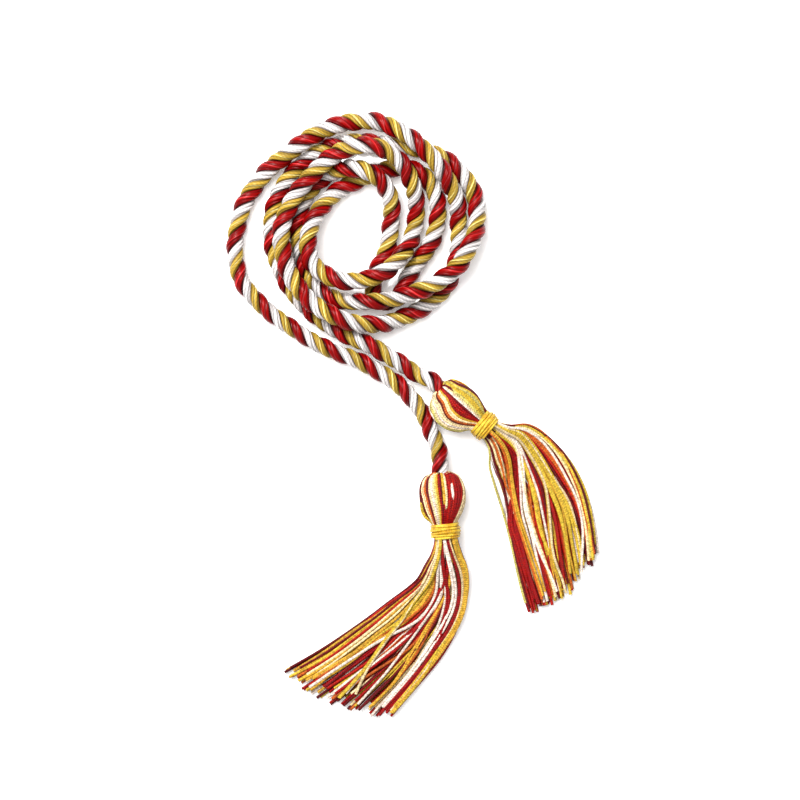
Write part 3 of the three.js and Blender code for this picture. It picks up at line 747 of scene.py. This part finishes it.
def head_strands(tassel):
    """Yarns looped over the cord's end, swelling out round the head and drawn in under the binding."""
    sides = HEAD_SIDES[tassel.name]
    lines, thick, dyes = [], [], []
    for dye, row, above, depth in head_loops(tassel):
        radius = rng.uniform(0.78, 0.98) * MM
        # out of the middle, over the cord's end, round the shoulder and down to the binding
        start = np.clip(row[0], -0.42, 0.42) * 0.8
        across = smooth(DOWN, HEAD_STATIONS, row)
        across[-1] *= 0.8
        turning = np.sqrt(1 - (1 - SHOULDER / DOWN[0]) ** 2)
        across = np.concatenate([start * MIDDLE_ACROSS, start + (across[0] - start) * turning, across])
        share = np.concatenate([[0.14, 0.02, rng.uniform(-0.04, 0.01)], SHOULDER, DOWN])
        across = held_in(share, across, sides, HEAD_SAG[tassel.name])
        if isinstance(depth, tuple):
            first, last = depth
            sunk = 1 - eased(share, first - 0.08, first) * (1 - eased(share, last - 0.08, last))
            depth = PEEK_DEPTH * sunk - PEEK_PROUD
        height = head_height(share, across, sides, above) - above * (radius + depth)
        height[:3] = AXIS_HEIGHT + above * HEAD_HALF_HEIGHT * MIDDLE_HEIGHT
        height = np.maximum(height, radius)
        line, _ = through(tassel.place(share * HEAD_LENGTH, across * HEAD_HALF_WIDTH, height), LOOP_STEP)
        lines.append(line)
        thick.append(np.full(len(line), radius))
        dyes.append(dye)
    return lines, thick, dyes


def skirt_strand(tassel, across, rank, end):
    """One cut yarn: it leaves the binding in the round bundle and settles at its rank in the fan."""
    radius = rng.uniform(0.68, 0.84) * MM
    tips = SKIRT_TIPS[tassel.name]
    end = end * np.interp(across[-1], np.linspace(0, 1, len(tips)), tips)
    share = np.concatenate([[-0.07, -0.03], np.linspace(0, end, YARN_POINTS)])
    inward = smooth(share, SKIRT_STATIONS, across)
    inward += rng.normal(0, 0.009) * np.sin(share * TAU * rng.uniform(0.8, 2.0) + rng.uniform(0, TAU))
    flat = tassel.skirt(np.maximum(share, 0), np.clip(inward, 0, 1))
    bundle = NECK_RADIUS - radius / 4
    at_neck = (np.clip(inward, 0.06, 0.94) - 0.5) * 2
    fanned = eased(share, 0.0, GATHERED)
    flat[:, 1] = flat[:, 1] * fanned + at_neck * bundle * (1 - fanned)
    flat[:, 0] = np.where(share < 0, share * SKIRT_LENGTH, flat[:, 0])
    neck_height = AXIS_HEIGHT + np.sqrt(1 - at_neck ** 2) * (rank * 2 - 1) * bundle
    low = radius + rank * PILE_HEIGHT
    height = neck_height + (low - neck_height) * eased(share, 0.0, SETTLED)
    points = tassel.place(SKIRT_START + flat[:, 0], flat[:, 1], np.maximum(height, radius))
    line, far = through(points, YARN_STEP)
    # pressed thinner near the binding
    return line, radius * (0.84 + 0.16 * eased(far, 0.0, 0.035))


def skirt_strands(tassel):
    """Cut yarns that leave the binding as a round bundle, fan out, cross and end ragged."""
    lines, thick, dyes = [], [], []

    def add(dye, across, rank, end):
        """One more yarn of the skirt."""
        line, size = skirt_strand(tassel, across, rank, end)
        lines.append(line)
        thick.append(size)
        dyes.append(dye)

    gap = STRAY_GAP[tassel.name]
    for k in range(UNDER_COUNT):
        end_across = (k + rng.uniform(0.1, 0.9)) / UNDER_COUNT
        start = np.clip(end_across + rng.normal(0, 0.12), 0.03, 0.97)
        across = start + (end_across - start) * eased(SKIRT_STATIONS, 0.0, rng.uniform(0.5, 1.0))
        add(any_under_yarn(), np.maximum(across, gap), rng.uniform(0, 0.5), rng.uniform(0.9, 1.0))
    shown = SKIRT_YARNS[tassel.name]
    for k, (dye, *row) in enumerate(shown):
        end = rng.uniform(0.935, 1.0)
        strands = 2 if dye in BAND_YARNS else 1
        for second in range(strands):
            # the second yarn of a band lies beside the first and parts from it on the way down
            offset = (second - (strands - 1) / 2) * BAND_APART / np.interp(SKIRT_STATIONS, *SKIRT_WIDTHS)
            offset = offset + rng.normal(0, 0.018) * eased(SKIRT_STATIONS, 0.2, 1.0) + rng.normal(0, 0.006)
            rank = 0.5 + 0.5 * (k + 0.5 + 0.9 * second) / len(shown)
            near = NEAR_YARNS[dye] if second and rng.uniform() < 0.4 else dye
            row_here = np.array(row) + (offset if second else 0)
            if k > 0:
                row_here = np.maximum(row_here, gap)
            add(near, row_here, rank, end - rng.uniform(0, 0.05))
    return lines, thick, dyes


def dyed(lines, dyes):
    """Each line's colour, with a little of the unevenness that dyed yarn has."""
    return [np.tile(np.array(YARNS[dye]) * rng.uniform(0.78, 1.12), (len(line), 1))
            for line, dye in zip(lines, dyes)]


STITCH_LENGTH = 1.2 * MM


def tassel_yarn():
    """Knitted yarn: small stitches in two slanting rows, a soft shine, a slightly uneven dye and painted shade on
    its underside.
    """
    yarn = Finish("tassel_yarn", Specular_IOR_Level=0.16)
    along = yarn.value("along")
    angle = yarn.value("round_y").math("ARCTAN2", yarn.value("round_x"))
    stitch = along * (TAU / STITCH_LENGTH)
    plait = (stitch + angle * 2).sine() + (stitch - angle * 2).sine()
    uneven = yarn.noise(800.0, 3.0)
    # painted shade: the side of each yarn that faces down is darker
    shade = yarn.value("upper_side").between(-0.3, 0.8) * 0.4 + 0.6
    level = (plait * 0.13 + 0.94) * (uneven.between(0.3, 0.7) * 0.72 + 0.64) * shade
    height = plait * 0.4 + uneven * 0.6
    return yarn.done(yarn.shade(yarn.colour("dye"), level), 0.44 + uneven * 0.16, height, 0.00014)


THREAD_RADIUS = 0.6 * MM
STEPS_A_TURN = 36


def binding_thread():
    """The bright thread that is wound round the neck, with painted shade on its underside."""
    thread = Finish("binding_thread", Specular_IOR_Level=0.35)
    along = thread.value("along")
    angle = thread.value("round_y").math("ARCTAN2", thread.value("round_x"))
    twist = (along * (TAU / STITCH_LENGTH) + angle * 2).sine()
    uneven = thread.noise(300.0)
    fine = thread.noise(1100.0)
    colour = thread.blend(uneven.between(0.36, 0.64), full(rgb(192, 142, 12)), full(rgb(214, 182, 52)))
    # painted shade: the side of the thread that faces down is darker
    shade = thread.value("upper_side").between(-0.3, 0.8) * 0.36 + 0.64
    level = (twist * 0.09 + 0.94) * (fine.between(0.3, 0.7) * 0.3 + 0.84) * shade
    return thread.done(thread.shade(colour, level), 0.38 + uneven * 0.14, twist * 0.5 + fine * 0.4, 0.00015)


def binding_lines(tassel):
    """A thread wound side by side round the neck, then a few slack turns across it."""
    def wound(first, last, start, turns, slant, over):
        """Turns from one share of the binding's length to another, this slanted and this far out."""
        turn = np.linspace(start, start + turns * TAU, int(turns * STEPS_A_TURN))
        share = (turn - start) / (turns * TAU)
        reach = BINDING_RADIUS - 2 * THREAD_RADIUS + over + 0.12 * MM * np.sin(turn * 0.73 + start)
        place = BINDING_START + BINDING_LENGTH * (first + (last - first) * share + slant * np.sin(turn + 1.3))
        return tassel.place(place, np.cos(turn) * reach, AXIS_HEIGHT + np.sin(turn) * reach)

    edge = THREAD_RADIUS / BINDING_LENGTH
    lines = [wound(edge, 1 - edge, 0.0, 7.4, 0.0, 0.0), wound(0.14, 0.8, 0.6, 4.6, 0.035, 0.45 * MM),
             wound(0.74, 0.3, 2.6, 2.3, -0.09, 0.8 * MM)]
    return lines, [np.full(len(line), THREAD_RADIUS) for line in lines]


CORE_RINGS = 22
CORE_SIDES = 24


def core(tassel, name):
    """A body inside the head and neck, so that no light comes through between the yarns; its dark colour is painted
    shade.
    """
    share = np.linspace(0.0, 1.5, CORE_RINGS)
    reach = head_fullness(share) - 0.2
    reach[share > 1] = 0.36
    reach[[0, -1]] = 0.02
    middle = sum(HEAD_SIDES[tassel.name]) / 2 * np.maximum(reach - 0.35, 0)
    turn = np.linspace(0, TAU, CORE_SIDES, endpoint=False)
    points, faces = [], []
    for s, r, m in zip(share, reach, middle):
        across = (np.cos(turn) * r + m) * HEAD_HALF_WIDTH
        height = AXIS_HEIGHT + np.sin(turn) * r * HEAD_HALF_HEIGHT
        points.append(tassel.place(np.full(CORE_SIDES, s * HEAD_LENGTH), across, height))
    for first in range(0, (CORE_RINGS - 1) * CORE_SIDES, CORE_SIDES):
        near = [first + j for j in range(CORE_SIDES)]
        for this, following in zip(near, near[1:] + near[:1]):
            faces.append((this, this + CORE_SIDES, following + CORE_SIDES, following))
    last = (CORE_RINGS - 1) * CORE_SIDES
    faces += [tuple(range(CORE_SIDES)), tuple(last + j for j in reversed(range(CORE_SIDES)))]
    mesh = bpy.data.meshes.new(name)
    mesh.from_pydata(np.vstack(points).tolist(), [], faces)
    mesh.update()
    return laid_out(name, mesh)


def core_yarn_painted_shade():
    """The same yarn, darkened with painted shade for the inside of the head: dull, and deep red."""
    inner = Finish("core_yarn_painted_shade", Specular_IOR_Level=0.2)
    uneven = inner.noise(500.0)
    colour = inner.blend(uneven.between(0.4, 0.6), full(YARNS["maroon"]), full(YARNS["crimson"]))
    # painted shade: the core's colour is dimmed to 0.4 to 0.6 of the yarn's
    return inner.done(inner.shade(colour, uneven * 0.2 + 0.4), 0.6 + uneven * 0.2, uneven, 0.0003)


YARN_SIDES = 8
yarn_sweep = yarn_tree()
yarn_finish, thread_finish, core_finish = tassel_yarn(), binding_thread(), core_yarn_painted_shade()

for tassel in (Tassel("lower", route[0], route[1]), Tassel("right", route[-1], route[-2])):
    lines, thick, dyes = [head + skirt for head, skirt in zip(head_strands(tassel), skirt_strands(tassel))]
    fringe = lines_object(f"fringe_{tassel.name}", lines, {"thick": thick, "dye": dyed(lines, dyes)})
    made(fringe, yarn_sweep, Sides=YARN_SIDES, Finish=yarn_finish)
    lines, thick = binding_lines(tassel)
    winding = lines_object(f"winding_{tassel.name}", lines, {"thick": thick})
    made(winding, yarn_sweep, Sides=YARN_SIDES, Finish=thread_finish)
    heart = core(tassel, f"core_{tassel.name}")
    heart.data.materials.append(core_finish)
    for piece, node, slot in ((fringe, f"tassel_{tassel.name}", "tassel_yarn"),
                              (winding, f"binding_{tassel.name}", "binding_thread"),
                              (heart, f"tassel_{tassel.name}", "tassel_yarn")):
        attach(piece, "root")
        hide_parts(node)


# ---- floor and light ----

WHITE = full((1, 1, 1))
FLOOR_HALF = 3
FLOOR_DROP = 0.3 * MM
SKY_LIGHT = 0.66


def floor_finish():
    """Pale paper. A little light of its own, like a lit backdrop's, keeps the shadows faint."""
    paper = Finish("pale_floor", Specular_IOR_Level=0.2, Emission_Color=WHITE, Emission_Strength=0.22)
    grain = paper.noise(60.0, 4.0)
    colour = paper.blend(grain, full(rgb(252, 252, 252)), full(rgb(255, 255, 255)))
    return paper.done(colour, 0.8 + grain * 0.1, grain, 0.00002)


floor_mesh = bpy.data.meshes.new("floor")
floor_corners = [(x * FLOOR_HALF, y * FLOOR_HALF, 0) for x, y in ((-1, -1), (1, -1), (1, 1), (-1, 1))]
floor_mesh.from_pydata(floor_corners, [], [(0, 1, 2, 3)])
floor_mesh.materials.append(floor_finish())
laid_out("floor", floor_mesh, (0, 0, -FLOOR_DROP))


def lamp(name, place, width, watts):
    """A square lamp that looks at the origin, in the middle of the cord."""
    data = bpy.data.lights.new(name, "AREA")
    data.shape, data.size, data.energy = "SQUARE", width, watts
    light = laid_out(name, data, place)
    light.rotation_euler = (-Vector(place)).to_track_quat("-Z", "Y").to_euler()


lamp("key", (-0.35, 0.45, 1.2), 0.75, 20)
lamp("spark", (-0.4, 0.65, 1.0), 0.1, 14)

world = bpy.data.worlds.new("studio")
world.use_nodes = True
background = world.node_tree.nodes["Background"]
background.inputs["Color"].default_value = WHITE
background.inputs["Strength"].default_value = SKY_LIGHT
bpy.context.scene.world = world
bpy.context.scene.view_settings.view_transform = "Standard"
